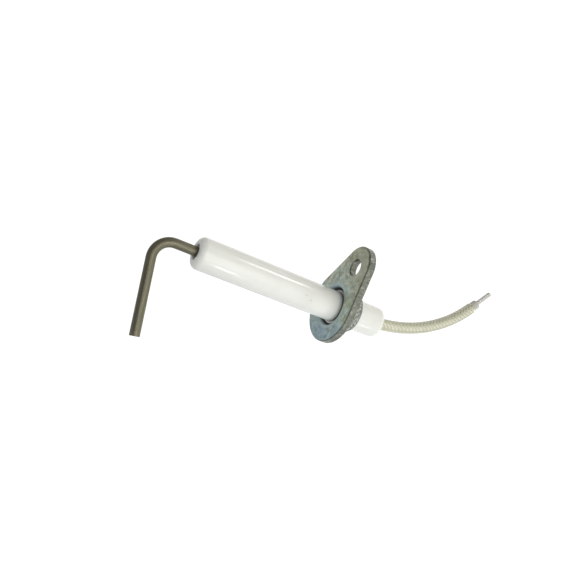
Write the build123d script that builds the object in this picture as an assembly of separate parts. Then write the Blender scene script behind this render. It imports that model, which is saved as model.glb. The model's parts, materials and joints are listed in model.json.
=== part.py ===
from build123d import *
from math import cos, degrees, pi, radians, sin
import os

# Ignition electrode: bent heat-resistant rod in a glazed ceramic tube, crimped into a screw-on flange.
# Millimetres. Origin: where the tube's axis meets the flange's mounting face. +X runs along the tube
# to the lead, -X to the burner, +Z towards the fastening hole.

# Electrode rod
ROD_R = 1.5
ROD_REAR_X = 7.5
ROD_CORNER_X = -61.0      # where the straight part and the leg would meet without a bend
ROD_BEND_R = 5.6          # centreline
ROD_LEG = 28.6            # from that corner to the tip
ROD_LEAN = 6.6            # degrees the leg leans back towards the flange
ROD_TWIST = -33.7         # degrees the leg is turned about the tube's axis, away from -Z

# Ceramic tube
TUBE_R = 5.0
TUBE_FRONT_X = -48.5
TUBE_REAR_X = 19.0
TUBE_BORE_R = 1.6
FRONT_EDGE_R = 2.0
REAR_EDGE_R = 1.6
MOUTH_R = 2.4             # recess round the rod at the burner end
MOUTH_DEPTH = 3.0
CHAMBER_R = 2.7           # rear counterbore that takes the splice and the lead
CHAMBER_X = 3.5
CEMENT_SETBACK = 1.0      # how far the cement lies inside the mouth

# Flange
PLATE_T = 2.5
BIG_R = 12.0
SMALL_R = 7.15
HOLE_Z = 14.85
HOLE_R = 2.75
EDGE_ROLL = 0.35          # rounding that punching leaves on the mounting side
MOUTH_IN_R = 6.12         # inside of the collar's wide part
GRIP_IN_R = 5.77          # inside of the part crimped on the sleeve
COLLAR_WALL = 0.63
NECK_START_X = 4.7
NECK_END_X = 5.9
COLLAR_END_X = 8.3
INLET_R = 1.6             # rolled-in front edge of the drawn collar
HEEL_R = 0.9              # fillet between the collar and the plate's back
RIM_R = 0.3               # outer rounding of the collar's end
RING_R = 9.0              # where the drawn ring joins the flat plate
PEEN_COUNT = 10           # dents round the collar that hold it on the sleeve
PEEN_R = 0.9              # ball that makes a dent
PEEN_DEPTH = 0.2
PEEN_X = 7.1

# Knurled sleeve between the collar and the tube
SLEEVE_IN_R = 5.02
SLEEVE_OUT_R = 5.75
SLEEVE_FRONT_X = 1.45
SLEEVE_REAR_X = 8.2

# Splice barrel between the rod and the conductor
SPLICE_R = 2.2
SPLICE_FRONT_X = 4.5
SPLICE_REAR_X = 13.5
FIT_GAP = 0.02            # left between pieces that sit in one another

# Lead: strands, silicone insulation and glass braid, bent in one arc
LEAD_R = 2.0
INSULATION_R = 1.65
CORE_R = 0.6
STRAND_R = 0.195
STRAND_PITCH_R = 0.4
OUTER_STRANDS = 6
LEAD_FRONT_X = 13.6
ARC_START_X = 15.5
ARC_R = 58.7
ARC_TURN = 46.3           # degrees
ARC_TILT = 54.0           # degrees from +Y towards +Z of the side the lead bends to
HINGE_TURNS = (9.0, 18.5, 28.0, 37.5)   # degrees round the arc of the four bending points
BALL_R = 1.97             # just under the braid, so the two surfaces never touch along a tangent
SOCKET_R = 2.05

# Prepared end of the lead
STRIP_LENGTH = 3.0
FERRULE_LENGTH = 8.0
FERRULE_R = 0.85

# Potting round the lead
POTTING_FRONT_X = 13.7
POTTING_REAR_X = 18.7
POTTING_GAP = 0.12        # round the lead, which already curves inside the tube

BEND_SIDE = Vector(0, cos(radians(ARC_TILT)), sin(radians(ARC_TILT)))
ALONG = Vector(1, 0, 0)
CROSS = ALONG.cross(BEND_SIDE)
BALL_TURN = degrees(1.2 * BALL_R / ARC_R)   # turn past a bending point, with a fifth to spare on the ball
TRIM_SIZE = 3 * LEAD_R    # reach of a block that takes in the whole width of the lead
OVERCUT = 1.0             # how far a cut runs past the ends of what it cuts


def turned(profile_points):
    """Solid turned about the X axis from (x, radius) points."""
    outline = make_face(Polyline(*profile_points, close=True))
    return revolve(outline, axis=Axis.X, revolution_arc=360)


def tube(front_x, rear_x, inner_r, outer_r):
    """Straight tube on the X axis."""
    return turned([(front_x, inner_r), (rear_x, inner_r), (rear_x, outer_r), (front_x, outer_r)])


def arc_point(turn):
    """Point on the lead's centreline after the given turn in degrees."""
    angle = radians(turn)
    centre_offset = ALONG * (ARC_R * sin(angle)) + BEND_SIDE * (ARC_R * (1 - cos(angle)))
    return Vector(ARC_START_X, 0, 0) + centre_offset


def arc_direction(turn):
    """Direction of the lead's centreline after the given turn in degrees."""
    angle = radians(turn)
    return ALONG * cos(angle) + BEND_SIDE * sin(angle)


def arc_plane(turn):
    """Plane across the lead, with its X axis across the arc's plane."""
    return Plane(origin=arc_point(turn), x_dir=CROSS, z_dir=arc_direction(turn))


def lead_sweep(section, start_turn, end_turn):
    """Section swept along the arc between two turns."""
    middle = arc_point((start_turn + end_turn) / 2)
    path = ThreePointArc(arc_point(start_turn), middle, arc_point(end_turn))
    return sweep(arc_plane(start_turn) * section, path=path)


def ring_section(inner_r, outer_r):
    """Ring-shaped section of one layer of the lead."""
    return Circle(outer_r) - Circle(inner_r)


def strand_places():
    """Centres of the conductor's strands across the lead."""
    angles = [2 * pi * i / OUTER_STRANDS for i in range(OUTER_STRANDS)]
    return [(0, 0)] + [(STRAND_PITCH_R * cos(angle), STRAND_PITCH_R * sin(angle)) for angle in angles]


def first_piece(section, front_x, end_turn):
    """Layer of the lead's fixed length, from inside the tube to its first ball."""
    inlet = Plane(origin=(front_x, 0, 0), x_dir=CROSS, z_dir=ALONG)
    straight = extrude(inlet * section, amount=ARC_START_X - front_x)
    return with_ball(straight + lead_sweep(section, 0, end_turn + BALL_TURN), end_turn)


def middle_piece(section, start_turn, end_turn):
    """Layer of a length between two bending points."""
    body = with_socket(lead_sweep(section, start_turn, end_turn + BALL_TURN), start_turn)
    return with_ball(body, end_turn)


def last_piece(section, start_turn, straight_length):
    """Layer of the last length, which ends straight."""
    body = lead_sweep(section, start_turn, ARC_TURN)
    if straight_length > 0:
        body = body + extrude(arc_plane(ARC_TURN) * section, amount=straight_length)
    return with_socket(body, start_turn)


def with_socket(body, turn):
    """Body with a ball-shaped hollow at its start."""
    return body - arc_plane(turn).location * Sphere(SOCKET_R)


def with_ball(body, turn):
    """Body trimmed to a ball round the bending point at its end."""
    block = extrude(arc_plane(turn) * Circle(TRIM_SIZE), amount=TRIM_SIZE)
    return body - (block - arc_plane(turn).location * Sphere(BALL_R))


def layer_lengths(sections, front_x, straight_length):
    """One layer of the lead as a list of solids for each length, in order from the tube."""
    lengths = [[first_piece(section, front_x, HINGE_TURNS[0]) for section in sections]]
    for start_turn, end_turn in zip(HINGE_TURNS, HINGE_TURNS[1:]):
        lengths.append([middle_piece(section, start_turn, end_turn) for section in sections])
    lengths.append([last_piece(section, HINGE_TURNS[-1], straight_length) for section in sections])
    return lengths


def electrode_rod():
    """Bent rod, from the splice through the tube to its plain sheared tip."""
    lean = radians(ROD_LEAN)
    twist = radians(ROD_TWIST)
    leg = Vector(sin(lean), cos(lean) * sin(twist), -cos(lean) * cos(twist))
    corner = Vector(ROD_CORNER_X, 0, 0)
    path = FilletPolyline(Vector(ROD_REAR_X, 0, 0), corner, corner + leg * ROD_LEG, radius=ROD_BEND_R)
    section = Plane(origin=(ROD_REAR_X, 0, 0), z_dir=(-1, 0, 0)) * Circle(ROD_R)
    return sweep(section, path=path)


def ceramic_tube():
    """Glazed tube with a recess at the front and a chamber at the rear."""
    outside = Rot(0, 90, 0) * Cylinder(TUBE_R, TUBE_REAR_X - TUBE_FRONT_X)
    outside = Pos((TUBE_FRONT_X + TUBE_REAR_X) / 2, 0, 0) * outside
    ends = outside.edges().filter_by(GeomType.CIRCLE).sort_by(Axis.X)
    outside = fillet(ends[0], FRONT_EDGE_R)
    outside = fillet(outside.edges().filter_by(GeomType.CIRCLE).sort_by(Axis.X)[-1], REAR_EDGE_R)
    hollow = turned([
        (TUBE_FRONT_X - OVERCUT, 0),
        (TUBE_FRONT_X - OVERCUT, MOUTH_R),
        (TUBE_FRONT_X + MOUTH_DEPTH, MOUTH_R),
        (TUBE_FRONT_X + MOUTH_DEPTH, TUBE_BORE_R),
        (CHAMBER_X, TUBE_BORE_R),
        (CHAMBER_X, CHAMBER_R),
        (TUBE_REAR_X + OVERCUT, CHAMBER_R),
        (TUBE_REAR_X + OVERCUT, 0),
    ])
    return outside - hollow


def teardrop():
    """Flange outline in the YZ plane: two rounds joined by their common tangents."""
    rise = (BIG_R - SMALL_R) / HOLE_Z
    side = (1 - rise ** 2) ** 0.5
    right_low = (BIG_R * side, BIG_R * rise)
    right_high = (SMALL_R * side, HOLE_Z + SMALL_R * rise)
    left_low = (-right_low[0], right_low[1])
    left_high = (-right_high[0], right_high[1])
    edges = [
        Line(right_low, right_high),
        ThreePointArc(right_high, (0, HOLE_Z + SMALL_R), left_high),
        Line(left_high, left_low),
        ThreePointArc(left_low, (0, -BIG_R), right_low),
    ]
    return make_face(edges)


def quarter(start, middle_of, end):
    """Quarter arc in (x, radius) from start to end, round middle_of."""
    centre = Vector(*middle_of)
    way = (Vector(*start) - centre) + (Vector(*end) - centre)
    radius = (Vector(*start) - centre).length
    return ThreePointArc(start, centre + way.normalized() * radius, end)


def drawn_ring():
    """Collar drawn out of the plate, with its rolled inlet, its crimped neck and the heel behind it."""
    mouth_out = MOUTH_IN_R + COLLAR_WALL
    grip_out = GRIP_IN_R + COLLAR_WALL
    inlet_r = MOUTH_IN_R + INLET_R
    heel_x = PLATE_T + HEEL_R
    rim_x = COLLAR_END_X - RIM_R
    profile = [
        quarter((0, inlet_r), (INLET_R, inlet_r), (INLET_R, MOUTH_IN_R)),
        Polyline((INLET_R, MOUTH_IN_R), (NECK_START_X, MOUTH_IN_R), (NECK_END_X, GRIP_IN_R),
                 (COLLAR_END_X, GRIP_IN_R), (COLLAR_END_X, grip_out - RIM_R)),
        quarter((COLLAR_END_X, grip_out - RIM_R), (rim_x, grip_out - RIM_R), (rim_x, grip_out)),
        Polyline((rim_x, grip_out), (NECK_END_X, grip_out), (NECK_START_X, mouth_out), (heel_x, mouth_out)),
        quarter((heel_x, mouth_out), (heel_x, mouth_out + HEEL_R), (PLATE_T, mouth_out + HEEL_R)),
        Polyline((PLATE_T, mouth_out + HEEL_R), (PLATE_T, RING_R), (0, RING_R), (0, inlet_r)),
    ]
    return revolve(make_face(profile), axis=Axis.X, revolution_arc=360)


def flange_plate():
    """Punched plate with the collar, the fastening hole and the peening marks."""
    plate = extrude(Plane.YZ * teardrop(), amount=PLATE_T)
    plate = fillet(plate.edges().group_by(Axis.X)[0], EDGE_ROLL)
    plate = plate - extrude(Plane.YZ * Circle(RING_R), amount=PLATE_T)
    plate = plate - extrude(Plane.YZ * Pos(0, HOLE_Z) * Circle(HOLE_R), amount=PLATE_T)
    plate = plate + drawn_ring()
    for i in range(PEEN_COUNT):
        dent = Pos(PEEN_X, 0, GRIP_IN_R + COLLAR_WALL + PEEN_R - PEEN_DEPTH) * Sphere(PEEN_R)
        plate = plate - Rot(360 / PEEN_COUNT * i, 0, 0) * dent
    return plate


def splice_barrel():
    """Crimp barrel, stepped inside for the rod and for the conductor."""
    return turned([
        (SPLICE_FRONT_X, ROD_R + FIT_GAP),
        (ROD_REAR_X + FIT_GAP, ROD_R + FIT_GAP),
        (ROD_REAR_X + FIT_GAP, CORE_R + FIT_GAP),
        (SPLICE_REAR_X, CORE_R + FIT_GAP),
        (SPLICE_REAR_X, SPLICE_R),
        (SPLICE_FRONT_X, SPLICE_R),
    ])


def lead_parts():
    """Every length of the lead as braid, insulation and conductor, and the ferrule on its end."""
    strands = [Pos(x, y) * Circle(STRAND_R) for x, y in strand_places()]
    braid = ring_section(INSULATION_R + FIT_GAP, LEAD_R)
    insulation = ring_section(CORE_R + FIT_GAP, INSULATION_R)
    layers = {
        "braid": layer_lengths([braid], LEAD_FRONT_X, 0),
        "insulation": layer_lengths([insulation], LEAD_FRONT_X, STRIP_LENGTH),
        "conductor": layer_lengths(strands, ROD_REAR_X + 2 * FIT_GAP, STRIP_LENGTH + FERRULE_LENGTH),
    }
    parts = {f"lead_{i}_{layer}": solids
             for layer, lengths in layers.items() for i, solids in enumerate(lengths)}
    ferrule_start = arc_plane(ARC_TURN).offset(STRIP_LENGTH)
    ferrule = extrude(ferrule_start * ring_section(CORE_R + FIT_GAP, FERRULE_R), amount=FERRULE_LENGTH)
    parts["end_ferrule"] = [ferrule]
    return parts


def all_parts():
    """Node name to the solids it holds."""
    parts = {
        "electrode_rod": [electrode_rod()],
        "ceramic_tube": [ceramic_tube()],
        "flange_plate": [flange_plate()],
        "clamp_sleeve": [tube(SLEEVE_FRONT_X, SLEEVE_REAR_X, SLEEVE_IN_R, SLEEVE_OUT_R)],
        "front_cement": [tube(TUBE_FRONT_X + CEMENT_SETBACK, TUBE_FRONT_X + MOUTH_DEPTH - FIT_GAP,
                              ROD_R + FIT_GAP, MOUTH_R - FIT_GAP)],
        "splice_barrel": [splice_barrel()],
        "rear_potting": [tube(POTTING_FRONT_X, POTTING_REAR_X, LEAD_R + POTTING_GAP, CHAMBER_R - FIT_GAP)],
    }
    parts.update(lead_parts())
    return parts


def main():
    """Write one STEP file per node."""
    os.makedirs("parts", exist_ok=True)
    for name, shapes in all_parts().items():
        solids = [solid for shape in shapes for solid in shape.solids()]
        export_step(Compound(children=solids) if len(solids) > 1 else solids[0], f"parts/{name}.step")


main()
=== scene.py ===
"""Looks of the ignition electrode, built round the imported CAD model.

Blender works in metres. Named sizes and all mesh building are in millimetres, and MM turns them into metres.
"""
import json
from math import asin, atan2, ceil, cos, exp, hypot, pi, radians, sin, sqrt, tan

import bmesh
import bpy
from mathutils import Matrix, Vector, noise


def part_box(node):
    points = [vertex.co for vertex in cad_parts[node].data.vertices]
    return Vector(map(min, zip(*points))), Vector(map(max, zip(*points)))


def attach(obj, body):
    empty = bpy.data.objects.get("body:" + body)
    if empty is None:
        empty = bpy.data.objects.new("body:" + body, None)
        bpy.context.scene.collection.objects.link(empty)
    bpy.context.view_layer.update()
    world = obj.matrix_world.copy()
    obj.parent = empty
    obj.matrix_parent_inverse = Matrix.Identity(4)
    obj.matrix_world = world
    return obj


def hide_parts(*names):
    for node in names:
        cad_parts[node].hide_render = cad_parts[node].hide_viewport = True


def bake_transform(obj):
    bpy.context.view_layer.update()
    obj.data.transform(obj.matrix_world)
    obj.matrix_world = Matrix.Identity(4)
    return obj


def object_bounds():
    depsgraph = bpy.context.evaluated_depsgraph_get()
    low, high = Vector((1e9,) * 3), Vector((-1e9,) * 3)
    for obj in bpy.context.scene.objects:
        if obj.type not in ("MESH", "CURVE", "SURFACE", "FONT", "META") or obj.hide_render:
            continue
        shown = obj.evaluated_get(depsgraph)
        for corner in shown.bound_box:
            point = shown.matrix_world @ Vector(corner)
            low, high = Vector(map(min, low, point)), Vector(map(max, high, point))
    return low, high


MM = 0.001
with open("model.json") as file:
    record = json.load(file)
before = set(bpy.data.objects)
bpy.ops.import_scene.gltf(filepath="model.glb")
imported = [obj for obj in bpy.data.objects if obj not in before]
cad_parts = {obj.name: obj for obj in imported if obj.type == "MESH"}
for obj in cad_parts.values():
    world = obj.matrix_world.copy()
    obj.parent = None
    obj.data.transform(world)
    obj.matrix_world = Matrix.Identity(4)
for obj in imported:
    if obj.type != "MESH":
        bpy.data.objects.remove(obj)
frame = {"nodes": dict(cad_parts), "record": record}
CAD_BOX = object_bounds()


# ---------------------------------------------------------------- sizes read from the frame

def extent(node):
    """Lowest and highest corner of a CAD node, in millimetres."""
    low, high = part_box(node)
    return low / MM, high / MM


def mount(name):
    """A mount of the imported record."""
    return next(m for m in frame["record"]["mounts"] if m["name"] == name)


tube_low, tube_high = extent("ceramic_tube")
TUBE_R = tube_high.z
TUBE_FRONT = tube_low.x
TUBE_REAR = tube_high.x

_, plate_high = extent("flange_plate")
BIG_R = plate_high.y
hole_mount = mount("fastening_hole")
HOLE_Z = hole_mount["pos_m"][2] / MM
HOLE_R = hole_mount["dims"]["r_mm"]
PLATE_T = hole_mount["dims"]["length_mm"]
SMALL_R = plate_high.z - HOLE_Z
COLLAR_END = plate_high.x

sleeve_low, sleeve_high = extent("clamp_sleeve")
SLEEVE_OUT_R = sleeve_high.z

end_mount = mount("lead_end")
FERRULE_R = end_mount["dims"]["r_mm"]
FERRULE_LENGTH = end_mount["dims"]["length_mm"]

# ---------------------------------------------------------------- other sizes, as in the CAD

ROD_R = 1.5
ROD_REAR = 7.5
ROD_CORNER = -61.0
ROD_BEND_R = 5.6
ROD_LEG = 28.6
ROD_LEAN = radians(6.6)
ROD_TWIST = radians(-33.7)

MOUTH_R = 2.4
MOUTH_DEPTH = 3.0
BORE_R = 1.6
CHAMBER_R = 2.7
CHAMBER_X = 3.5
FRONT_EDGE_R = 2.0
REAR_EDGE_R = 1.6

MOUTH_IN_R = 6.12
GRIP_IN_R = 5.77
COLLAR_WALL = 0.63
NECK_START = 4.7
NECK_END = 5.9
INLET_R = 1.6
HEEL_R = 0.9
RIM_R = 0.3

LEAD_R = 2.0
INSULATION_R = 1.65
CORE_R = 0.6
LEAD_START = 13.6
ARC_START = 15.5
ARC_R = 58.7
ARC_TURN = radians(46.3)
ARC_TILT = radians(54.0)
HINGE_TURNS = tuple(radians(a) for a in (9.0, 18.5, 28.0, 37.5))
STRIP_LENGTH = 3.0

YARNS = 8                  # in each direction
YARN_TWIST = 0.52          # radians per millimetre
YARN_HALF_WIDTH = 0.5
YARN_HALF_THICK = 0.1
YARN_POINTS = 14
YARN_STEP = 0.16
LEFT_HAND_FLOW = 1000.0    # added to the flow of the yarns that turn the other way, so that a shader can tell
WEAVE_R = LEAD_R - 2 * YARN_HALF_THICK

# ---------------------------------------------------------------- marks that only the looks have

GLAZE_FLAWS = ((-9.9, -4.9, 1.0), (-12.0, -4.6, 2.0), (-1.5, -2.6, 4.3))   # places of small dark flaws
PEENED_ROWS = ((5.6, 30, 0.13), (7.2, 27, 0.16))       # x, number of dents and depth of each row
TEAR_START = 1.2           # x at which the plate's sheared edge turns from burnished to torn
SLEEVE_TEETH = 64

# ---------------------------------------------------------------- how finely the meshes are divided

ROD_STRAIGHT_STEPS = 40
ROD_BEND_STEPS = 32
ROD_LEG_STEPS = 24
ROD_SEGMENTS = 72
TUBE_SEGMENTS = 160
FILLING_SEGMENTS = 96
TEARDROP_STEPS = (220, 50, 90, 50)   # big end, one side, small end, other side
HOLE_SEGMENTS = 120
COLLAR_SEGMENTS = 288
INSULATION_SEGMENTS = 48
FERRULE_SEGMENTS = 64
FERRULE_STEPS = 80

# ---------------------------------------------------------------- camera and room

AZIMUTH = radians(-28.84)
ELEVATION = radians(19.76)
ROLL = radians(32.15)
CAMERA_SPOT = Vector((-111.74, -174.92, 71.38)) * MM
LENS = 42.5

ROOM_DARK = (0.22, 0.22, 0.22)
ROOM_BRIGHT = (1.22, 1.21, 1.15)
FLOOR_DARK = (0.45, 0.46, 0.48)
FLOOR_BRIGHT = (1.12, 1.14, 1.15)
FLOOR_FADE = 0.12          # metres from dark to bright
FLOOR_HALF = 1.5           # metres
FLOOR_GAP = 0.0005         # metres between the object and the floor

# ---------------------------------------------------------------- mesh building


class Draft:
    """Vertices, faces and flow coordinates of one piece, in millimetres."""

    def __init__(self):
        self.points = []
        self.faces = []
        self.flow = []

    def ring(self, points):
        """Adds a loop of points and returns their numbers."""
        first = len(self.points)
        self.points.extend(points)
        return list(range(first, first + len(points)))

    def bridge(self, a, b, u0, u1, width):
        """Quads between two loops. The flow runs from u0 to u1, and width is the loop's length."""
        n = len(a)
        for j in range(n):
            k = (j + 1) % n
            v0 = width * j / n
            v1 = width * (j + 1) / n
            self.faces.append((a[j], a[k], b[k], b[j]))
            self.flow.append(((u0, v0), (u0, v1), (u1, v1), (u1, v0)))

    def cap(self, loop):
        """One flat face over a loop."""
        self.faces.append(tuple(loop))
        self.flow.append(tuple((0.0, 0.0) for _ in loop))

    def skin(self, rings, stations, width, closed=False):
        """Skin over a list of rings, which is closed onto itself or capped at both ends."""
        loops = [self.ring(points) for points in rings]
        for i in range(len(loops) - 1):
            self.bridge(loops[i], loops[i + 1], stations[i], stations[i + 1], width)
        if closed:
            self.bridge(loops[-1], loops[0], stations[-1], stations[-1], width)
        else:
            self.cap(loops[0])
            self.cap(loops[-1])

    def make(self, name, material, flat_fills=()):
        """The finished object. flat_fills lists groups of loops whose area between them is filled."""
        mesh = bpy.data.meshes.new(name)
        mesh.from_pydata([tuple(c * MM for c in p) for p in self.points], [], self.faces)
        layer = mesh.uv_layers.new(name="flow")
        layer.data.foreach_set("uv", [c for face in self.flow for uv in face for c in uv])
        work = bmesh.new()
        work.from_mesh(mesh)
        work.verts.ensure_lookup_table()
        for loops in flat_fills:
            chosen = set(i for loop in loops for i in loop)
            edges = [e for e in work.edges if e.is_boundary and all(v.index in chosen for v in e.verts)]
            bmesh.ops.triangle_fill(work, use_beauty=True, use_dissolve=False, edges=edges)
        bmesh.ops.recalc_face_normals(work, faces=work.faces)
        for face in work.faces:
            face.smooth = True
        work.to_mesh(mesh)
        work.free()
        obj = bpy.data.objects.new(name, mesh)
        bpy.context.scene.collection.objects.link(obj)
        mesh.materials.append(material)
        return obj


def rounded(corners, steps):
    """Closed outline from (x, radius, rounding) corners: arcs, and support points beside their ends."""
    support = 0.12
    outline = []
    n = len(corners)
    for i, (x, r, rounding) in enumerate(corners):
        here = Vector((x, r))
        before = Vector(corners[i - 1][:2]) - here
        after = Vector(corners[(i + 1) % n][:2]) - here
        angle = before.angle(after)
        reach = rounding / tan(angle / 2)
        start = here + before.normalized() * reach
        end = here + after.normalized() * reach
        centre = here + (before.normalized() + after.normalized()).normalized() * rounding / sin(angle / 2)
        first = atan2(start.y - centre.y, start.x - centre.x)
        sweep = (atan2(end.y - centre.y, end.x - centre.x) - first + pi) % (2 * pi) - pi
        outline.append(start + before.normalized() * min(support, before.length / 4))
        for k in range(steps + 1):
            way = first + sweep * k / steps
            outline.append(centre + Vector((cos(way), sin(way))) * rounding)
        outline.append(end + after.normalized() * min(support, after.length / 4))
    return [(p.x, p.y) for p in outline]


def divided(outline, longest):
    """Outline with its long stretches divided."""
    result = []
    for (x0, r0), (x1, r1) in zip(outline, outline[1:] + outline[:1]):
        count = max(1, int(hypot(x1 - x0, r1 - r0) / longest))
        result.extend((x0 + (x1 - x0) * k / count, r0 + (r1 - r0) * k / count) for k in range(count))
    return result


def turned(name, outline, material, segments, shape):
    """Piece turned about the X axis from a closed (x, radius) outline. shape(x, r, angle) moves points."""
    draft = Draft()
    rings = []
    for x, r in outline:
        ring = []
        for j in range(segments):
            angle = 2 * pi * j / segments
            moved_x, moved_r = shape(x, r, angle)
            ring.append((moved_x, moved_r * cos(angle), moved_r * sin(angle)))
        rings.append(ring)
    draft.skin(rings, [x for x, r in outline], 2 * pi * max(r for x, r in outline), closed=True)
    return draft.make(name, material)


def stand_in(obj, node, body="electrode"):
    """Lets a piece ride on a rigid body in place of one CAD node."""
    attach(obj, body)
    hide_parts(node)


def ripple(x, y, z, size):
    """Smooth noise between about -1 and 1, with features of the given size in millimetres."""
    return noise.noise(Vector((x, y, z)) / size)


# ---------------------------------------------------------------- materials

class Tree:
    """Short way to write a node tree."""

    def __init__(self, tree):
        self.nodes = tree.nodes
        self.links = tree.links

    def node(self, kind, inputs=None, **settings):
        """New node. Input values may be numbers, colours or another node's output."""
        made = self.nodes.new(kind)
        for key, value in settings.items():
            setattr(made, key, value)
        for key, value in (inputs or {}).items():
            self.feed(made.inputs[key], value)
        return made

    def feed(self, socket, value):
        """Sets or links one input."""
        if isinstance(value, bpy.types.NodeSocket):
            self.links.new(value, socket)
        elif socket.type == "RGBA" and len(value) == 3:
            socket.default_value = (*value, 1)
        else:
            socket.default_value = value

    def mix(self, factor, a, b, mode="MIX"):
        """Mix of two colours."""
        made = self.node("ShaderNodeMix", data_type="RGBA", blend_type=mode)
        for number, value in ((0, factor), (6, a), (7, b)):     # 6 and 7 are the node's two colours
            self.feed(made.inputs[number], value)
        return made.outputs[2]

    def times(self, a, b):
        """Product of two colours."""
        return self.mix(1.0, a, b, "MULTIPLY")


class Shader(Tree):
    """Short way to write a material. Texture coordinates are in millimetres."""

    def __init__(self, name):
        self.material = bpy.data.materials.new(name)
        self.material.use_nodes = True
        super().__init__(self.material.node_tree)
        self.surface = self.nodes["Principled BSDF"]

    def place(self, stretch=(1, 1, 1), flow=False):
        """Coordinates in millimetres: of the object, or along the piece's flow."""
        source = self.node("ShaderNodeTexCoord").outputs["UV" if flow else "Object"]
        scale = 1.0 if flow else 1.0 / MM
        scaled = self.node("ShaderNodeVectorMath", {0: source, 1: tuple(scale * s for s in stretch)},
                           operation="MULTIPLY")
        return scaled.outputs["Vector"]

    def noise(self, scale, detail=4.0, roughness=0.55, stretch=(1, 1, 1), flow=False):
        """Noise value. Scale is in features per millimetre."""
        made = self.node("ShaderNodeTexNoise", {"Vector": self.place(stretch, flow), "Scale": scale,
                                                "Detail": detail, "Roughness": roughness})
        return made.outputs["Fac"]

    def ramp(self, value, *stops):
        """Colour ramp from (position, colour) stops. A colour may be one grey number."""
        made = self.node("ShaderNodeValToRGB", {"Fac": value})
        points = made.color_ramp.elements
        while len(points) < len(stops):
            points.new(0.5)
        for point, (position, colour) in zip(points, stops):
            point.position = position
            point.color = (*colour, 1) if isinstance(colour, tuple) else (colour, colour, colour, 1)
        return made.outputs["Color"]

    def math(self, operation, a, b=0.0):
        """One arithmetic step."""
        return self.node("ShaderNodeMath", {0: a, 1: b}, operation=operation).outputs[0]

    def along(self, value, low, high):
        """How far a value lies from low to high, for a ramp."""
        return self.math("DIVIDE", self.math("SUBTRACT", value, low), high - low)

    def split(self, vector):
        """The three numbers of a vector."""
        return self.node("ShaderNodeSeparateXYZ", {0: vector}).outputs

    def distance(self, a, b):
        """Length of the vector (a, b)."""
        squares = self.math("ADD", self.math("MULTIPLY", a, a), self.math("MULTIPLY", b, b))
        return self.math("SQRT", squares)

    def bump(self, height, depth, strength=1.0, over=None):
        """Normal from a height from 0 to 1. Depth is in millimetres."""
        made = self.node("ShaderNodeBump", {"Height": height, "Distance": depth * MM, "Strength": strength})
        if over is not None:
            self.links.new(over, made.inputs["Normal"])
        return made.outputs["Normal"]

    def finish(self, **values):
        """Feeds the surface's inputs, whose names have underscores for spaces, and gives the material."""
        for key, value in values.items():
            self.feed(self.surface.inputs[key.replace("_", " ")], value)
        return self.material


def glaze():
    """White glazed alumina: faintly wavy, with dark specks, painted light near the flange and painted shade
    in the gap inside the flange.
    """
    s = Shader("white_glaze")
    cloud = s.noise(0.12, 3.0)
    base = s.ramp(cloud, (0.3, (0.765, 0.77, 0.71)), (0.7, (0.825, 0.83, 0.78)))
    cells = s.node("ShaderNodeTexVoronoi", {"Vector": s.place(), "Scale": 0.3, "Randomness": 1.0})
    speck = s.ramp(cells.outputs["Distance"], (0.035, 1.0), (0.075, 0.0))
    rare = s.ramp(s.node("ShaderNodeSeparateColor", {0: cells.outputs["Color"]}).outputs[0],
                  (0.80, 0.0), (0.82, 1.0))
    base = s.mix(s.math("MULTIPLY", s.times(speck, rare), 0.5), base, (0.17, 0.15, 0.12))
    for flaw in GLAZE_FLAWS:
        away = s.node("ShaderNodeVectorMath", {0: s.place(), 1: flaw}, operation="DISTANCE").outputs["Value"]
        base = s.mix(s.ramp(away, (0.12, 0.4), (0.36, 0.0)), base, (0.25, 0.23, 0.20))
    x = s.split(s.place())[0]
    # lighter near the flange, to make up for light that the plate takes away
    near_flange = s.ramp(s.along(x, -12.0, 12.0), (0.08, 0.0), (0.35, 1.0), (0.8, 0.0))
    base = s.mix(near_flange, base, (0.92, 0.925, 0.86))
    # painted shade: the tube turns dark where it lies in the gap inside the flange
    gap_shade = s.ramp(s.along(x, -2.0, 10.0), (0.13, 0.0), (0.22, 0.3), (0.27, 0.92), (0.855, 0.92),
                    (0.875, 0.0))
    base = s.mix(gap_shade, base, (0.07, 0.08, 0.06))
    wave = s.bump(s.noise(0.35, 2.0), 0.03, 0.5)
    skin = s.bump(s.noise(3.0, 3.0), 0.002, 0.5, wave)
    return s.finish(Base_Color=base, Roughness=s.ramp(s.noise(1.2), (0.3, 0.16), (0.7, 0.24)),
                    IOR=1.52, Normal=skin, Coat_Weight=0.6, Coat_Roughness=0.07,
                    Subsurface_Weight=0.08, Subsurface_Radius=(0.0012, 0.0011, 0.001))


def rod_alloy():
    """Drawn iron-chromium-aluminium wire with a brown-olive oxide skin."""
    s = Shader("rod_alloy")
    streaks = s.noise(1.0, 5.0, 0.6, stretch=(0.12, 3.0, 1.0), flow=True)
    patches = s.noise(0.25, 4.0, 0.6)
    base = s.ramp(streaks, (0.25, (0.115, 0.105, 0.068)), (0.75, (0.25, 0.235, 0.165)))
    base = s.mix(s.ramp(patches, (0.4, 0.0), (0.75, 0.6)), base, (0.17, 0.165, 0.13))
    rough = s.ramp(s.noise(1.4, 5.0), (0.3, 0.35), (0.7, 0.5))
    lines = s.bump(streaks, 0.012, 0.6)
    pits = s.bump(s.noise(7.0, 3.0), 0.006, 0.5, lines)
    return s.finish(Base_Color=base, Metallic=0.9, Roughness=rough, Normal=pits)


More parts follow.
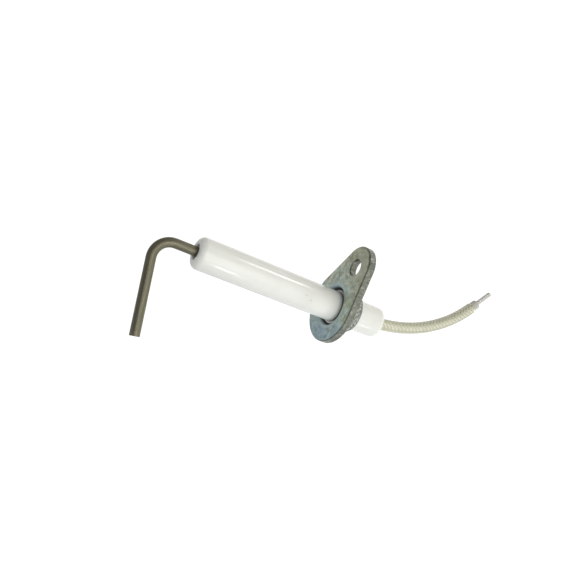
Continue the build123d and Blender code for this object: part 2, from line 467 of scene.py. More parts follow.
def plate_face(s, z, fine):
    """Colour of the plate's faces: olive round the screw hole and bluish round the collar, with stains."""
    drift = s.math("MULTIPLY", s.math("SUBTRACT", s.noise(0.16, 4.0, 0.65), 0.5), 34.0)
    tint = s.ramp(s.along(s.math("ADD", z, drift), -12.0, 20.0), (0.05, (0.25, 0.33, 0.36)),
                  (0.4, (0.39, 0.48, 0.45)), (0.55, (0.46, 0.51, 0.42)), (0.9, (0.44, 0.45, 0.33)))
    clouds = s.ramp(s.noise(0.5, 6.0, 0.72), (0.32, 0.5), (0.5, 1.0), (0.68, 1.4))
    mottle = s.ramp(fine, (0.3, 0.7), (0.7, 1.25))
    face = s.times(tint, s.times(clouds, mottle))
    stains = s.ramp(s.noise(0.32, 5.0, 0.7), (0.52, 0.0), (0.68, 1.0))
    return s.mix(stains, face, s.times(face, (0.66, 0.62, 0.52)))


def plate_colour(s, y, z, out, fine):
    """Colour of the plate with its sheared edges, its screw hole and the collar's rolled inlet. It holds
    painted glints on the edges, painted shade on the rolled edges and in the screw hole, and painted shade
    and light in the inlet.
    """
    # the sheared edge's grey-green tone, with painted glints where the noise is high
    edge = s.ramp(s.noise(1.6, 6.0, 0.75, stretch=(0.4, 1.0, 1.0)),
                  (0.3, (0.31, 0.35, 0.32)), (0.52, (0.50, 0.56, 0.52)), (0.65, (0.94, 0.96, 0.90)))
    facing = s.math("ABSOLUTE", s.split(s.node("ShaderNodeTexCoord").outputs["Normal"])[0])
    plate = s.mix(s.ramp(facing, (0.3, 0.0), (0.9, 1.0)), edge, plate_face(s, z, fine))
    # painted shade on the rolled edges, where the surface turns from the face to the side
    roll_shade = s.ramp(facing, (0.02, 1.0), (0.25, 0.7), (0.6, 0.40), (0.93, 0.85), (0.99, 1.0))
    # painted shade and light on the rolled inlet: bluish tones chosen by facing, lighter deep inside
    inlet = s.ramp(facing, (0.1, (0.30, 0.38, 0.41)), (0.5, (0.44, 0.57, 0.62)), (0.86, (0.40, 0.52, 0.55)),
                   (0.97, (0.38, 0.47, 0.46)))
    base = s.mix(s.ramp(out, (0.72, 0.0), (0.80, 1.0)), inlet, s.times(plate, roll_shade))
    # painted shade on the screw hole's wall
    from_hole = s.distance(y, s.math("SUBTRACT", z, HOLE_Z))
    near_hole = s.ramp(s.math("DIVIDE", from_hole, HOLE_R), (1.02, 1.0), (1.10, 0.0))
    hole_wall_shade = s.times(near_hole, s.ramp(facing, (0.5, 1.0), (0.9, 0.0)))
    return s.mix(hole_wall_shade, base, s.times(base, (0.42, 0.40, 0.36)))


def collar_colour(s, back, struck):
    """Colour of the crimped collar: dull, with painted glints in the two struck rows."""
    dull = s.ramp(struck, (0.38, (0.15, 0.16, 0.14)), (0.62, (0.31, 0.33, 0.29)))
    # painted glints: near-white spots where the struck noise is high within the two rows
    rows = s.ramp(back, (0.58, 0.0), (0.64, 0.9), (0.74, 0.3), (0.80, 0.3), (0.87, 0.9), (0.95, 0.0))
    painted_glints = s.times(rows, s.ramp(struck, (0.54, 0.0), (0.58, 1.0)))
    return s.mix(painted_glints, dull, (1.0, 0.99, 0.90))


def zinc():
    """Zinc-plated steel of the plate and its crimped collar."""
    s = Shader("zinc_plate")
    x, y, z = s.split(s.place())
    out = s.math("DIVIDE", s.distance(y, z), 10.0)     # centimetres from the tube's axis
    back = s.math("DIVIDE", x, COLLAR_END)
    on_collar = s.ramp(back, (0.39, 0.0), (0.5, 1.0))
    fine = s.noise(2.4, 6.0, 0.75)
    struck = s.noise(1.3, 3.0, 0.6, stretch=(2.4, 1.0, 1.0))
    base = s.mix(on_collar, plate_colour(s, y, z, out, fine), collar_colour(s, back, struck))
    rough_plate = s.ramp(fine, (0.3, 0.26), (0.75, 0.46))
    rough_collar = s.ramp(struck, (0.45, 0.42), (0.64, 0.2))
    grain = s.bump(fine, 0.02, 0.5)
    lines = s.bump(s.noise(1.0, 4.0, 0.7, stretch=(1.0, 6.0, 0.5)), 0.008, 0.5, grain)
    dents = s.bump(s.mix(on_collar, (0.5, 0.5, 0.5), struck), 0.22, 1.0, lines)
    return s.finish(Base_Color=base, Metallic=s.ramp(out, (0.68, 0.2), (0.77, 0.92)),
                    Roughness=s.mix(on_collar, rough_plate, rough_collar), Normal=dents)


def sleeve_steel():
    """Sleeve: a painted highlight along its inner edge against the tube, grey-green and duller outside it."""
    s = Shader("sleeve_steel")
    _, y, z = s.split(s.place())
    grain = s.noise(2.5, 5.0, 0.65)
    # painted highlight: a bright ring along the inner edge
    inner = s.ramp(s.math("DIVIDE", s.distance(y, z), TUBE_R), (1.03, 1.0), (1.05, 0.0))
    outer_tone = s.ramp(grain, (0.3, (0.18, 0.21, 0.20)), (0.7, (0.32, 0.36, 0.34)))
    base = s.mix(inner, outer_tone, (0.48, 0.48, 0.45))
    return s.finish(Base_Color=base, Metallic=0.95, Normal=s.bump(grain, 0.01, 0.6),
                    Roughness=s.ramp(grain, (0.3, 0.24), (0.7, 0.4)))


def bright_steel(name, low, high, roughness):
    """Plain bright metal between two tones."""
    s = Shader(name)
    grain = s.noise(2.5, 5.0, 0.65)
    base = s.ramp(grain, (0.3, low), (0.7, high))
    return s.finish(Base_Color=base, Metallic=0.95, Normal=s.bump(grain, 0.01, 0.6),
                    Roughness=s.ramp(grain, (0.3, roughness - 0.08), (0.7, roughness + 0.12)))


def cement():
    """Gritty grey-beige ceramic cement."""
    s = Shader("cement")
    grit = s.noise(4.0, 6.0, 0.75)
    base = s.ramp(grit, (0.3, (0.34, 0.33, 0.30)), (0.7, (0.60, 0.58, 0.53)))
    return s.finish(Base_Color=base, Roughness=0.9, Normal=s.bump(grit, 0.08, 0.8))


def potting():
    """Dark silicone sealant in the rear of the tube."""
    s = Shader("potting")
    lumps = s.noise(1.6, 4.0)
    base = s.ramp(lumps, (0.3, (0.13, 0.125, 0.11)), (0.7, (0.26, 0.25, 0.22)))
    return s.finish(Base_Color=base, Roughness=s.ramp(lumps, (0.3, 0.45), (0.7, 0.65)),
                    Normal=s.bump(lumps, 0.05, 0.7))


def glass_yarn():
    """Ivory glass fibre: fine filaments along the yarn, lacquered tops, yarns of one hand darker as painted
    shade, and painted shade in the gaps between the yarns.
    """
    s = Shader("glass_yarn")
    fibres = s.noise(1.0, 4.0, 0.65, stretch=(0.5, 14.0, 1.0), flow=True)
    tone = s.noise(0.3, 3.0)
    flow = s.split(s.place(flow=True))
    base = s.ramp(fibres, (0.25, (0.56, 0.55, 0.40)), (0.7, (0.80, 0.785, 0.63)))
    base = s.mix(s.ramp(tone, (0.35, 0.0), (0.75, 0.3)), base, (0.58, 0.56, 0.42))
    # painted shade: the yarns that turn the other way are darker
    left_hand = s.math("GREATER_THAN", flow[0], LEFT_HAND_FLOW / 2)
    base = s.mix(left_hand, base, s.times(base, (0.80, 0.81, 0.77)))
    # painted shade at each yarn's edges, in the gaps between the yarns
    across = s.math("ABSOLUTE", s.math("SUBTRACT", s.math("DIVIDE", flow[1], YARN_HALF_WIDTH), 1.0))
    base = s.times(base, s.ramp(across, (0.6, 1.0), (0.95, 0.6)))
    return s.finish(Base_Color=base, Roughness=s.ramp(fibres, (0.3, 0.34), (0.7, 0.5)),
                    Sheen_Weight=0.2, Sheen_Roughness=0.4, Coat_Weight=0.35, Coat_Roughness=0.22,
                    Normal=s.bump(fibres, 0.03, 0.8))


def silicone():
    """Pale silicone rubber."""
    s = Shader("silicone")
    cloud = s.noise(1.2, 3.0)
    base = s.ramp(cloud, (0.3, (0.50, 0.48, 0.43)), (0.7, (0.60, 0.58, 0.53)))
    return s.finish(Base_Color=base, Roughness=0.5, Subsurface_Weight=0.1,
                    Subsurface_Radius=(0.001, 0.0009, 0.0008), Normal=s.bump(cloud, 0.01, 0.5))


# ---------------------------------------------------------------- rod

def rod_path():
    """Points and directions of the rod's middle line from the splice to the tip, and the bend's axis."""
    leg = Vector((sin(ROD_LEAN), cos(ROD_LEAN) * sin(ROD_TWIST), -cos(ROD_LEAN) * cos(ROD_TWIST)))
    forward = Vector((-1, 0, 0))
    turn = forward.angle(leg)
    reach = ROD_BEND_R * tan(turn / 2)
    corner = Vector((ROD_CORNER, 0, 0))
    side = (leg - forward * leg.dot(forward)).normalized()
    path = []
    straight = ROD_REAR - ROD_CORNER - reach
    for k in range(ROD_STRAIGHT_STEPS):
        path.append((Vector((ROD_REAR, 0, 0)) + forward * straight * k / ROD_STRAIGHT_STEPS, forward))
    bend_start = corner - forward * reach
    for k in range(ROD_BEND_STEPS + 1):
        angle = turn * k / ROD_BEND_STEPS
        point = bend_start + forward * ROD_BEND_R * sin(angle) + side * ROD_BEND_R * (1 - cos(angle))
        path.append((point, forward * cos(angle) + side * sin(angle)))
    rest = ROD_LEG - reach
    for k in range(1, ROD_LEG_STEPS + 1):
        path.append((corner + leg * (reach + rest * k / ROD_LEG_STEPS), leg))
    return path, forward.cross(side)


def rod_sections(path):
    """Centre, direction and radius of each section: along the path, over the tip's edge, on its face."""
    edge = 0.12
    sections = [(point, direction, ROD_R) for point, direction in path]
    tip, heading, _ = sections.pop()
    for angle in (0.0, pi / 6, pi / 3, pi / 2):
        sections.append((tip - heading * edge * (1 - sin(angle)), heading, ROD_R - edge * (1 - cos(angle))))
    for share in (0.8, 0.4, 0.05):
        sections.append((tip, heading, ROD_R * share))
    return sections


def rod_ring(point, direction, radius, across):
    """Points round one section of the rod, with drawing marks outside and shear marks on the tip's face."""
    mark_depth = 0.012
    shear_depth = 0.035
    other = direction.cross(across)
    on_face = radius < 0.9 * ROD_R
    ring = []
    for j in range(ROD_SEGMENTS):
        angle = 2 * pi * j / ROD_SEGMENTS
        out = across * cos(angle) + other * sin(angle)
        spot = point + out * radius
        spot += out * mark_depth * ripple(spot.x, spot.y, spot.z, 2.5)
        if on_face:
            spot += direction * shear_depth * ripple(spot.x, spot.y * 4.0, spot.z, 0.7)
        ring.append(tuple(spot))
    return ring


def build_rod(material):
    """Swept rod with slight drawing marks and a sheared tip whose edge is barely broken."""
    path, across = rod_path()
    sections = rod_sections(path)
    rings = [rod_ring(point, direction, radius, across) for point, direction, radius in sections]
    stations = [0.0]
    for (before, _, _), (here, _, _) in zip(sections, sections[1:]):
        stations.append(stations[-1] + (here - before).length)
    draft = Draft()
    draft.skin(rings, stations, 2 * pi * ROD_R)
    obj = draft.make("rod", material)
    stand_in(obj, "electrode_rod")


# ---------------------------------------------------------------- ceramic and what fills it

def build_tube(material):
    """Glazed tube. The glaze makes its outside very slightly uneven."""
    outline = rounded([
        (TUBE_FRONT, MOUTH_R, 0.35),
        (TUBE_FRONT, TUBE_R, FRONT_EDGE_R),
        (TUBE_REAR, TUBE_R, REAR_EDGE_R),
        (TUBE_REAR, CHAMBER_R, 0.3),
        (CHAMBER_X, CHAMBER_R, 0.1),
        (CHAMBER_X, BORE_R, 0.1),
        (TUBE_FRONT + MOUTH_DEPTH, BORE_R, 0.1),
        (TUBE_FRONT + MOUTH_DEPTH, MOUTH_R, 0.1),
    ], steps=10)

    def uneven(x, r, angle):
        """Slight swells of the glaze on the outside."""
        swell = 0.02 * ripple(x * 0.4, r * cos(angle), r * sin(angle), 4.0)
        return x, r + (swell if r > CHAMBER_R + 0.5 else 0.0)

    obj = turned("ceramic", divided(outline, 1.0), material, TUBE_SEGMENTS, uneven)
    stand_in(obj, "ceramic_tube")


def build_cement(material):
    """Cement in the front mouth, with a gritty face."""
    front = extent("front_cement")[0].x
    inner = front + MOUTH_DEPTH / 2
    ring = rounded([(front, ROD_R + 0.02, 0.05), (front, MOUTH_R - 0.02, 0.05),
                    (inner, MOUTH_R - 0.02, 0.05), (inner, ROD_R + 0.02, 0.05)], steps=3)

    def gritty(x, r, angle):
        """Grit on the cement's outer face."""
        rough = 0.12 * ripple(x, r * cos(angle), r * sin(angle), 0.6)
        return (x + rough, r) if x < front + 0.3 else (x, r)

    obj = turned("mouth_cement", divided(ring, 0.15), material, FILLING_SEGMENTS, gritty)
    stand_in(obj, "front_cement")


def build_seal(material):
    """Sealant in the rear chamber, whose face has sagged a little."""
    low, high = extent("rear_potting")
    seal = rounded([(low.x, LEAD_R, 0.05), (low.x, CHAMBER_R - 0.02, 0.05),
                    (high.x, CHAMBER_R - 0.02, 0.05), (high.x, LEAD_R, 0.05)], steps=3)

    def sagged(x, r, angle):
        """Hollow and lumpy outer face."""
        if x < high.x - 0.3:
            return x, r
        hollow = 0.25 * sin(pi * (r - LEAD_R) / (CHAMBER_R - LEAD_R))
        return x - hollow + 0.08 * ripple(3.0, r * cos(angle), r * sin(angle), 0.9), r

    obj = turned("lead_seal", divided(seal, 0.12), material, FILLING_SEGMENTS, sagged)
    stand_in(obj, "rear_potting")


# ---------------------------------------------------------------- flange

def teardrop(inset, x, push=None):
    """Loop round the flange's outline, drawn in by inset, at one x. push(x, y, z) moves points outwards."""
    big = BIG_R - inset
    small = SMALL_R - inset
    right = asin((BIG_R - SMALL_R) / HOLE_Z)
    left = -pi - right
    stations = ((big, 0.0, right), (big, 0.0, left), (small, HOLE_Z, left), (small, HOLE_Z, right - 2 * pi),
                (big, 0.0, right - 2 * pi))
    loop = []
    for start, end, steps in zip(stations, stations[1:], TEARDROP_STEPS):
        for k in range(steps):
            r, centre_z, angle = (a + (b - a) * k / steps for a, b in zip(start, end))
            y = r * cos(angle)
            z = centre_z + r * sin(angle)
            out = push(x, y, z) if push else 0.0
            loop.append((x, y + out * cos(angle), z + out * sin(angle)))
    return loop


def circle(centre_z, radius, x, segments, push=None):
    """Loop of a circle in the YZ plane. push(x, angle) changes its radius."""
    loop = []
    for j in range(segments):
        angle = 2 * pi * j / segments
        r = radius + (push(x, angle) if push else 0.0)
        loop.append((x, r * cos(angle), centre_z + r * sin(angle)))
    return loop


def torn(x, y, z):
    """Roughness of the sheared edge: smooth in the burnished band, torn in the fracture band behind it."""
    tear = min(1.0, max(0.0, (x - TEAR_START) / 0.3))
    lines = 0.35 * ripple(x * 0.2, y, z, 0.35)
    return 0.012 * ripple(x * 0.3, y, z, 0.5) + tear * 0.075 * (ripple(x, y, z, 0.45) + lines)


def peened(x, angle):
    """Marks of the crimping tool round the collar: two uneven rows of small sharp dents."""
    dent = 0.0
    for row, (place, count, depth) in enumerate(PEENED_ROWS):
        shift = 0.9 * row + 0.12 * ripple(angle * 1.7, row * 5.0, 0.0, 1.0)
        across = cos(count * (angle + shift)) * 0.5 + 0.5
        uneven = 0.7 + 0.8 * ripple(cos(angle) * 9, sin(angle) * 9, 7.0 * row, 1.6)
        dent += depth * max(0.0, uneven) * across * exp(-((x - place) / 0.45) ** 2)
    rise = min(1.0, max(0.0, x - PLATE_T - HEEL_R))
    chatter = 0.07 * ripple(x * 2.0, GRIP_IN_R * cos(angle), GRIP_IN_R * sin(angle), 0.6)
    return rise * (chatter - dent)


def outer_edge(draft):
    """Edge of the plate from its flat front to its flat back, and the two loops the flats start at."""
    roll_in = 0.6
    roll_deep = 0.5
    torn_x = roll_deep + 0.08
    torn_step = 0.085
    torn_loops = ceil((PLATE_T - 0.1 - torn_x) / torn_step)
    smooth_at_front = 5    # loops
    smooth_at_back = 3     # loops
    outline_length = 80.0
    loops = [(0.9, 0.0), (0.62, 0.0)]
    for k in range(9):
        angle = pi / 2 * k / 8
        loops.append((roll_in * (1 - sin(angle)), roll_deep * (1 - cos(angle))))
    loops += [(0.0, torn_x + torn_step * k) for k in range(torn_loops)]
    loops += [(0.0, PLATE_T - 0.07), (0.02, PLATE_T - 0.02), (0.07, PLATE_T + 0.01)]
    loops += [(0.16, PLATE_T), (0.5, PLATE_T)]
    rings = []
    for i, (inset, x) in enumerate(loops):
        push = torn if smooth_at_front <= i < len(loops) - smooth_at_back else None
        rings.append(draft.ring(teardrop(inset, x, push)))
    for i, (a, b) in enumerate(zip(rings, rings[1:])):
        draft.bridge(a, b, loops[i][1], loops[i + 1][1], outline_length)
    return rings[0], rings[-1]


def hole_edge(draft):
    """Wall of the fastening hole, rolled in at the front and broken out at the back."""
    roll = 0.24
    break_x = 1.3
    loops = [(HOLE_R + 0.6, 0.0), (HOLE_R + roll + 0.08, 0.0)]
    for k in range(7):
        angle = pi / 2 * k / 6
        loops.append((HOLE_R + roll * (1 - sin(angle)), roll * (1 - cos(angle))))
    loops += [(HOLE_R, 0.8), (HOLE_R, break_x)]
    loops += [(HOLE_R + 0.03, 1.6), (HOLE_R + 0.06, 2.0), (HOLE_R + 0.09, 2.35)]
    loops += [(HOLE_R + flare, PLATE_T) for flare in (0.13, 0.3, 0.6)]

    def rough(x, angle):
        """Roughness of the part that is broken out."""
        return 0.035 * ripple(x, HOLE_R * cos(angle), HOLE_R * sin(angle), 0.4)

    rings = []
    for r, x in loops:
        push = rough if break_x < x < PLATE_T else None
        rings.append(draft.ring(circle(HOLE_Z, r, x, HOLE_SEGMENTS, push)))
    for i, (a, b) in enumerate(zip(rings, rings[1:])):
        draft.bridge(b, a, loops[i + 1][1], loops[i][1], 2 * pi * HOLE_R)
    return rings[0], rings[-1]


def quarter(start, centre, end, steps):
    """Points of a quarter arc in (radius, x), from start to end."""
    points = []
    for k in range(steps + 1):
        angle = pi / 2 * k / steps
        points.append((centre[0] + (start[0] - centre[0]) * cos(angle) + (end[0] - centre[0]) * sin(angle),
                       centre[1] + (start[1] - centre[1]) * cos(angle) + (end[1] - centre[1]) * sin(angle)))
    return points


def between(start, end, longest=0.14):
    """Points that divide the line between two (radius, x) places, without its ends."""
    count = int(hypot(end[0] - start[0], end[1] - start[1]) / longest) + 1
    return [(start[0] + (end[0] - start[0]) * k / count, start[1] + (end[1] - start[1]) * k / count)
            for k in range(1, count)]


def drawn_collar(draft):
    """Rolled inlet, crimped collar and heel, from the flat front to the flat back."""
    inlet_r = MOUTH_IN_R + INLET_R
    mouth_out = MOUTH_IN_R + COLLAR_WALL
    grip_out = GRIP_IN_R + COLLAR_WALL
    heel_x = PLATE_T + HEEL_R
    rim_x = COLLAR_END - RIM_R
    lip = 0.1
    inside = [(inlet_r + 1.0, 0.0), (inlet_r + 0.3, 0.0)]
    inside += quarter((inlet_r, 0.0), (inlet_r, INLET_R), (MOUTH_IN_R, INLET_R), 14)
    inside += between((MOUTH_IN_R, INLET_R), (MOUTH_IN_R, NECK_START), 0.5)
    inside += [(MOUTH_IN_R, NECK_START), (GRIP_IN_R, NECK_END), (GRIP_IN_R, COLLAR_END - lip - 0.1)]
    inside += quarter((GRIP_IN_R, COLLAR_END - lip), (GRIP_IN_R + lip, COLLAR_END - lip),
                      (GRIP_IN_R + lip, COLLAR_END), 3)
    outside = quarter((grip_out - RIM_R, COLLAR_END), (grip_out - RIM_R, rim_x), (grip_out, rim_x), 6)
    outside += between((grip_out, rim_x), (grip_out, NECK_END))
    outside += between((grip_out, NECK_END), (mouth_out, NECK_START))
    outside += between((mouth_out, NECK_START), (mouth_out, heel_x))
    outside += quarter((mouth_out, heel_x), (mouth_out + HEEL_R, heel_x), (mouth_out + HEEL_R, PLATE_T), 8)
    outside += [(mouth_out + HEEL_R + 0.3, PLATE_T), (mouth_out + HEEL_R + 0.8, PLATE_T)]
    rings = [draft.ring(circle(0.0, r, x, COLLAR_SEGMENTS)) for r, x in inside]
    rings += [draft.ring(circle(0.0, r, x, COLLAR_SEGMENTS, peened)) for r, x in outside]
    places = inside + outside
    for i, (a, b) in enumerate(zip(rings, rings[1:])):
        draft.bridge(b, a, places[i + 1][1], places[i][1], 2 * pi * mouth_out)
    return rings[0], rings[-1]


def build_flange(material):
    """Punched and drawn plate as one closed mesh."""
    draft = Draft()
    edge = outer_edge(draft)
    hole = hole_edge(draft)
    collar = drawn_collar(draft)
    fills = [(edge[0], hole[0], collar[0]), (edge[1], hole[1], collar[1])]
    obj = draft.make("flange", material, fills)
    stand_in(obj, "flange_plate")


def build_sleeve(material):
    """Thin sleeve with fine teeth round its front edge."""
    outline = rounded([
        (sleeve_low.x, TUBE_R + 0.02, 0.06),
        (sleeve_low.x, SLEEVE_OUT_R, 0.12),
        (sleeve_high.x, SLEEVE_OUT_R, 0.08),
        (sleeve_high.x, TUBE_R + 0.02, 0.06),
    ], steps=4)

    def knurled(x, r, angle):
        """Teeth at the front, which fade out behind it."""
        front = max(0.0, 1.0 - (x - sleeve_low.x) / 0.8)
        wave = 0.5 + 0.5 * cos(SLEEVE_TEETH * angle)
        bite = 0.14 * front * wave if r > TUBE_R + 0.2 else 0.0
        return x + bite, r - 0.4 * bite

    obj = turned("clamp_ring", divided(outline, 0.25), material, 6 * SLEEVE_TEETH, knurled)
    stand_in(obj, "clamp_sleeve")


# ---------------------------------------------------------------- lead

BEND_SIDE = Vector((0, cos(ARC_TILT), sin(ARC_TILT)))
ALONG = Vector((1, 0, 0))
CROSS = ALONG.cross(BEND_SIDE)
STRAIGHT = ARC_START - LEAD_START
LEAD_LENGTH = STRAIGHT + ARC_R * ARC_TURN
HINGES = [STRAIGHT + ARC_R * turn for turn in HINGE_TURNS]
SEAMS = [0.0] + [(a + b) / 2 for a, b in zip(HINGES, HINGES[1:])] + [LEAD_LENGTH]


def lead_frame(s):
    """Centre, direction and side vector of the lead at the length s from its start."""
    turn = min(max((s - STRAIGHT) / ARC_R, 0.0), ARC_TURN)
    direction = ALONG * cos(turn) + BEND_SIDE * sin(turn)
    centre = Vector((ARC_START, 0, 0)) + ALONG * ARC_R * sin(turn) + BEND_SIDE * ARC_R * (1 - cos(turn))
    past = s - STRAIGHT - ARC_R * turn
    return centre + direction * past, direction, direction.cross(CROSS)


def lead_spot(s, angle, radius):
    """Point on the lead at the length s, the angle round it and the radius."""
    centre, _, side = lead_frame(s)
    return centre + (CROSS * cos(angle) + side * sin(angle)) * radius


def bend(obj):
    """Bakes a piece of the lead's placement into its mesh."""
    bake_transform(obj)


def yarn_lift(index, s, hand):
    """How far a yarn stands out, from -1 to 1: over two, then under two. The wave's tops are cut flat."""
    phase = 2 * index + hand * YARNS * YARN_TWIST * s / pi
    wave = cos(pi / 2 * (phase - 0.5))
    return hand * max(-1.0, min(1.0, 1.35 * wave))


def flattened(wave):
    """A wave from -1 to 1 with broader tops, which gives a yarn its flat section."""
    return wave / max(0.35, sqrt(abs(wave)))


def yarn_ring(index, s, hand):
    """Section of one yarn of the braid, wrapped on the lead's round."""
    angle = 2 * pi * index / YARNS + hand * YARN_TWIST * s
    lift = yarn_lift(index, s, hand) * YARN_HALF_THICK
    slant = sqrt(1 + (YARN_TWIST * WEAVE_R) ** 2)
    swell = 1.0 + 0.1 * ripple(s, index * 3.1, hand * 7.0, 2.0)
    ring = []
    for j in range(YARN_POINTS):
        t = 2 * pi * j / YARN_POINTS
        across = YARN_HALF_WIDTH * swell * cos(t)
        up = YARN_HALF_THICK * flattened(sin(t)) * (0.9 + 0.1 * cos(3 * t))
        along = -hand * across * YARN_TWIST * WEAVE_R / slant
        around = across / slant / WEAVE_R
        ring.append(tuple(lead_spot(s + along, angle + around, WEAVE_R + lift + up)))
    return ring


def lead_ring(s, radius, segments):
    """Plain round section of the lead."""
    return [tuple(lead_spot(s, 2 * pi * j / segments, radius)) for j in range(segments)]


def replace_layer(obj, i, layer):
    """Lets the piece round hinge i stand for one layer of the lead. The first piece covers lead_0 too."""
    bend(obj)
    nodes = [f"lead_{i + 1}_{layer}"]
    if i == 0:
        nodes.append(f"lead_0_{layer}")
    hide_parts(*nodes)


def build_braid(material):
    """Glass braid as woven yarns, in one piece for each bend."""
    for i in range(len(SEAMS) - 1):
        draft = Draft()
        count = int((SEAMS[i + 1] - SEAMS[i]) / YARN_STEP)
        stations = [SEAMS[i] + (SEAMS[i + 1] - SEAMS[i]) * k / count for k in range(count + 1)]
        for hand in (1, -1):
            for index in range(YARNS):
                rings = [yarn_ring(index, s, hand) for s in stations]
                shift = LEFT_HAND_FLOW if hand < 0 else 0.0
                draft.skin(rings, [s + shift for s in stations], 4 * YARN_HALF_WIDTH)
        obj = draft.make(f"braid_{i + 1}", material)
        replace_layer(obj, i, "braid")


def build_insulation(material):
    """Silicone layer under the braid, in one piece for each bend. The last one shows at the stripped end."""
    for i in range(len(SEAMS) - 1):
        draft = Draft()
        last = i == len(SEAMS) - 2
        start_s = SEAMS[i]
        end_s = SEAMS[i + 1] + (STRIP_LENGTH if last else 0.0)
        count = int((end_s - start_s) / 0.5)
        stations = [start_s + (end_s - start_s) * k / count for k in range(count + 1)]
        outer = [lead_ring(s, INSULATION_R - 0.01, INSULATION_SEGMENTS) for s in stations]
        inner = [lead_ring(s, CORE_R + 0.02, INSULATION_SEGMENTS) for s in (end_s, start_s)]
        draft.skin(outer + inner, stations + [end_s, start_s], 2 * pi * INSULATION_R, closed=True)
        obj = draft.make(f"insulation_{i + 1}", material)
        replace_layer(obj, i, "insulation")


def build_lead_end(material):
    """Ferrule on the stripped end, with the crimping tool's marks along it."""
    draft = Draft()
    gap = 0.02
    start_s = LEAD_LENGTH + STRIP_LENGTH + gap
    end_s = start_s + FERRULE_LENGTH - 2 * gap
    crimp_start = 1.0
    crimp_end = 7.2
    crimp_pitch = 1.1
    crimp_depth = 0.09
    stations = []
    rings = []
    for k in range(FERRULE_STEPS + 1):
        s = start_s + (end_s - start_s) * k / FERRULE_STEPS
        edge = min(1.0, (k + 0.5) / 2.0, (FERRULE_STEPS + 0.5 - k) / 2.0)
        crimp = 0.0
        if crimp_start < s - start_s < crimp_end:
            crimp = crimp_depth * (0.5 + 0.5 * cos(2 * pi * (s - start_s) / crimp_pitch))
        ring = []
        for j in range(FERRULE_SEGMENTS):
            angle = 2 * pi * j / FERRULE_SEGMENTS
            press = crimp * (0.5 + 0.5 * cos(4 * angle))
            ring.append(tuple(lead_spot(s, angle, FERRULE_R - press - 0.06 * (1 - edge))))
        rings.append(ring)
        stations.append(s)
    for s in (end_s, start_s):
        rings.append(lead_ring(s, CORE_R + 0.03, FERRULE_SEGMENTS))
        stations.append(s)
    draft.skin(rings, stations, 2 * pi * FERRULE_R, closed=True)
    obj = draft.make("ferrule", material)
    stand_in(obj, "end_ferrule", "lead_4")


# ---------------------------------------------------------------- nodes that stay as CAD

def finish_inner_nodes(metal, copper):
    """Materials for the CAD nodes that stay inside the object."""
    for name, node in frame["nodes"].items():
        if node.hide_render:
            continue
        node.data.materials.clear()
        node.data.materials.append(copper if name.endswith("conductor") else metal)


# ---------------------------------------------------------------- stage, light and camera

def camera_axes():
    """Right, up and forward directions of the camera."""
    forward = Vector((-sin(AZIMUTH) * cos(ELEVATION), cos(AZIMUTH) * cos(ELEVATION), -sin(ELEVATION)))
    level = Vector((cos(AZIMUTH), sin(AZIMUTH), 0))
    rise = level.cross(forward)
    right = level * cos(ROLL) + rise * sin(ROLL)
    up = rise * cos(ROLL) - level * sin(ROLL)
    return right, up, forward


def add_camera():
    """Camera at the reference view."""
    right, up, forward = camera_axes()
    data = bpy.data.cameras.new("camera")
    data.lens = LENS
    data.clip_start = 0.005
    camera = bpy.data.objects.new("camera", data)
    axes = Matrix((right, up, -forward)).transposed().to_4x4()
    camera.matrix_world = Matrix.Translation(CAMERA_SPOT) @ axes
    bpy.context.scene.collection.objects.link(camera)
    bpy.context.scene.camera = camera


def aim_lamp(data, spot, target, power, reflected):
    """Puts a light's data at a spot, aimed at a target. It may be left out of reflections."""
    data.energy = power
    lamp = bpy.data.objects.new(data.name, data)
    lamp.location = spot
    lamp.rotation_mode = "QUATERNION"
    lamp.rotation_quaternion = (target - spot).to_track_quat("-Z", "Y")
    lamp.visible_camera = False
    lamp.visible_glossy = reflected
    bpy.context.scene.collection.objects.link(lamp)


def add_lamp(name, spot, target, size, power, reflected=True):
    """Square area light."""
    data = bpy.data.lights.new(name, "AREA")
    data.size = size
    aim_lamp(data, spot, target, power, reflected)


def add_glint(name, place, axis, radius, angle, distance, size, power):
    """Lamp placed so that the camera sees its reflection on a round bar or tube.

    place is a point on the bar's axis, in millimetres. angle says how far round the bar the reflection lies
    from the line that faces the camera.
    """
    to_camera = CAMERA_SPOT - place * MM
    facing = (to_camera - axis * to_camera.dot(axis)).normalized()
    beside = facing.cross(axis)
    normal = facing * cos(angle) + beside * sin(angle)
    spot = (place + normal * radius) * MM
    view = (CAMERA_SPOT - spot).normalized()
    mirrored = normal * 2 * view.dot(normal) - view
    add_lamp(name, spot + mirrored * distance, spot, size, power)


def add_snoot(name, spot, target, width, power):
    """Narrow lamp with a soft rim, which lights a round patch of the given width."""
    data = bpy.data.lights.new(name, "SPOT")
    data.spot_size = 2 * atan2(width / 2, (target - spot).length)
    data.spot_blend = 1.0
    data.shadow_soft_size = 0.04
    aim_lamp(data, spot, target, power, False)


def bright_way():
    """Direction in which the room gets brighter: right, down and beyond the object, as the camera sees it."""
    right, up, forward = camera_axes()
    return (right * 0.5 - up * 0.5 + forward * 0.7).normalized()


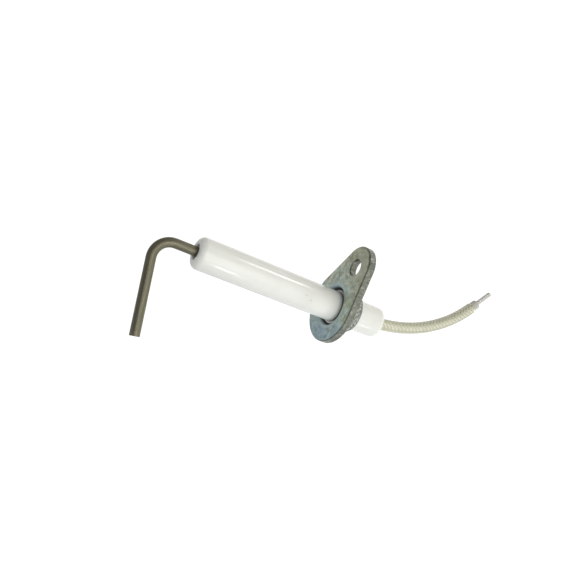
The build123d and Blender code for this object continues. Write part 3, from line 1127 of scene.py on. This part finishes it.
def graded_glow(tree, source, reach, dark, bright, kind, output):
    """White for the camera, and for the object a glow that goes from dark to bright along bright_way."""
    tree = Tree(tree)
    along = tree.node("ShaderNodeVectorMath", {0: source, 1: bright_way()}, operation="DOT_PRODUCT")
    limits = {"Value": along.outputs["Value"], "From Min": -reach, "From Max": reach}
    spread = tree.node("ShaderNodeMapRange", limits, interpolation_type="SMOOTHSTEP")
    glow = tree.node(kind, {"Color": tree.mix(spread.outputs["Result"], dark, bright)})
    white = tree.node(kind, {"Color": (1, 1, 1), "Strength": 1.1})
    from_camera = tree.node("ShaderNodeLightPath").outputs["Is Camera Ray"]
    pick = tree.node("ShaderNodeMixShader", {0: from_camera, 1: glow.outputs[0], 2: white.outputs[0]})
    tree.feed(output, pick.outputs[0])


def add_world():
    """The studio round the object."""
    world = bpy.data.worlds.new("room")
    bpy.context.scene.world = world
    world.use_nodes = True
    tree = world.node_tree
    tree.nodes.clear()
    way = tree.nodes.new("ShaderNodeTexCoord").outputs["Generated"]
    surface = tree.nodes.new("ShaderNodeOutputWorld").inputs["Surface"]
    graded_glow(tree, way, 1.0, ROOM_DARK, ROOM_BRIGHT, "ShaderNodeBackground", surface)


def add_floor():
    """Plain pale floor just below the object, which glows like a light table."""
    material = bpy.data.materials.new("pale_floor")
    material.use_nodes = True
    tree = material.node_tree
    tree.nodes.remove(tree.nodes["Principled BSDF"])
    spot = tree.nodes.new("ShaderNodeNewGeometry").outputs["Position"]
    surface = tree.nodes["Material Output"].inputs["Surface"]
    graded_glow(tree, spot, FLOOR_FADE, FLOOR_DARK, FLOOR_BRIGHT, "ShaderNodeEmission", surface)
    depth = CAD_BOX[0].z - FLOOR_GAP
    corners = [(x * FLOOR_HALF, y * FLOOR_HALF, depth) for x, y in ((-1, -1), (1, -1), (1, 1), (-1, 1))]
    mesh = bpy.data.meshes.new("floor")
    mesh.from_pydata(corners, [], [(0, 1, 2, 3)])
    mesh.materials.append(material)
    floor = bpy.data.objects.new("floor", mesh)
    bpy.context.scene.collection.objects.link(floor)


def add_lights():
    """A broad front light, and small lamps whose reflections draw the fine bright lines along the glaze."""
    right, up, forward = camera_axes()
    centre = Vector((-9.5, 0, 0)) * MM
    add_lamp("front", centre + (right * 0.35 - up * 0.25 - forward) * 0.5, centre, 0.6, 1.2)
    add_lamp("left_fill", centre + (-right * 0.75 - up * 0.1 - forward * 0.6) * 0.5, centre, 0.5, 0.95, False)
    joint = Vector((-3, 0, 0)) * MM
    add_snoot("joint_fill", joint + (up * 0.15 - forward) * 0.3, joint, 0.04, 1.8)
    add_glint("upper_line", ALONG * -23.5, ALONG, TUBE_R, radians(31), 0.45, 0.06, 0.1)
    add_glint("front_glint", ALONG * -39.5, ALONG, TUBE_R, radians(-23), 0.06, 0.008, 0.003)
    add_glint("rear_glint", ALONG * 12.5, ALONG, TUBE_R, radians(-28), 0.05, 0.003, 0.0006)
    add_glint("rod_glint", ALONG * -54, ALONG, ROD_R, radians(-12), 0.2, 0.03, 0.01)
    path, _ = rod_path()
    leg_middle, leg_way = path[-1 - ROD_LEG_STEPS // 2]
    add_glint("leg_glint", leg_middle, leg_way, ROD_R, radians(15), 0.3, 0.06, 0.035)


def main():
    """Builds every visible piece, then the stage."""
    build_rod(rod_alloy())
    build_tube(glaze())
    build_cement(cement())
    build_seal(potting())
    build_flange(zinc())
    build_sleeve(sleeve_steel())
    build_braid(glass_yarn())
    build_insulation(silicone())
    copper = bright_steel("tinned_copper", (0.5, 0.49, 0.47), (0.72, 0.71, 0.69), 0.32)
    build_lead_end(copper)
    finish_inner_nodes(bright_steel("nickel_plate", (0.45, 0.43, 0.38), (0.65, 0.62, 0.56), 0.3), copper)
    add_camera()
    add_world()
    add_floor()
    add_lights()
    bpy.context.scene.view_settings.view_transform = "Standard"


main()
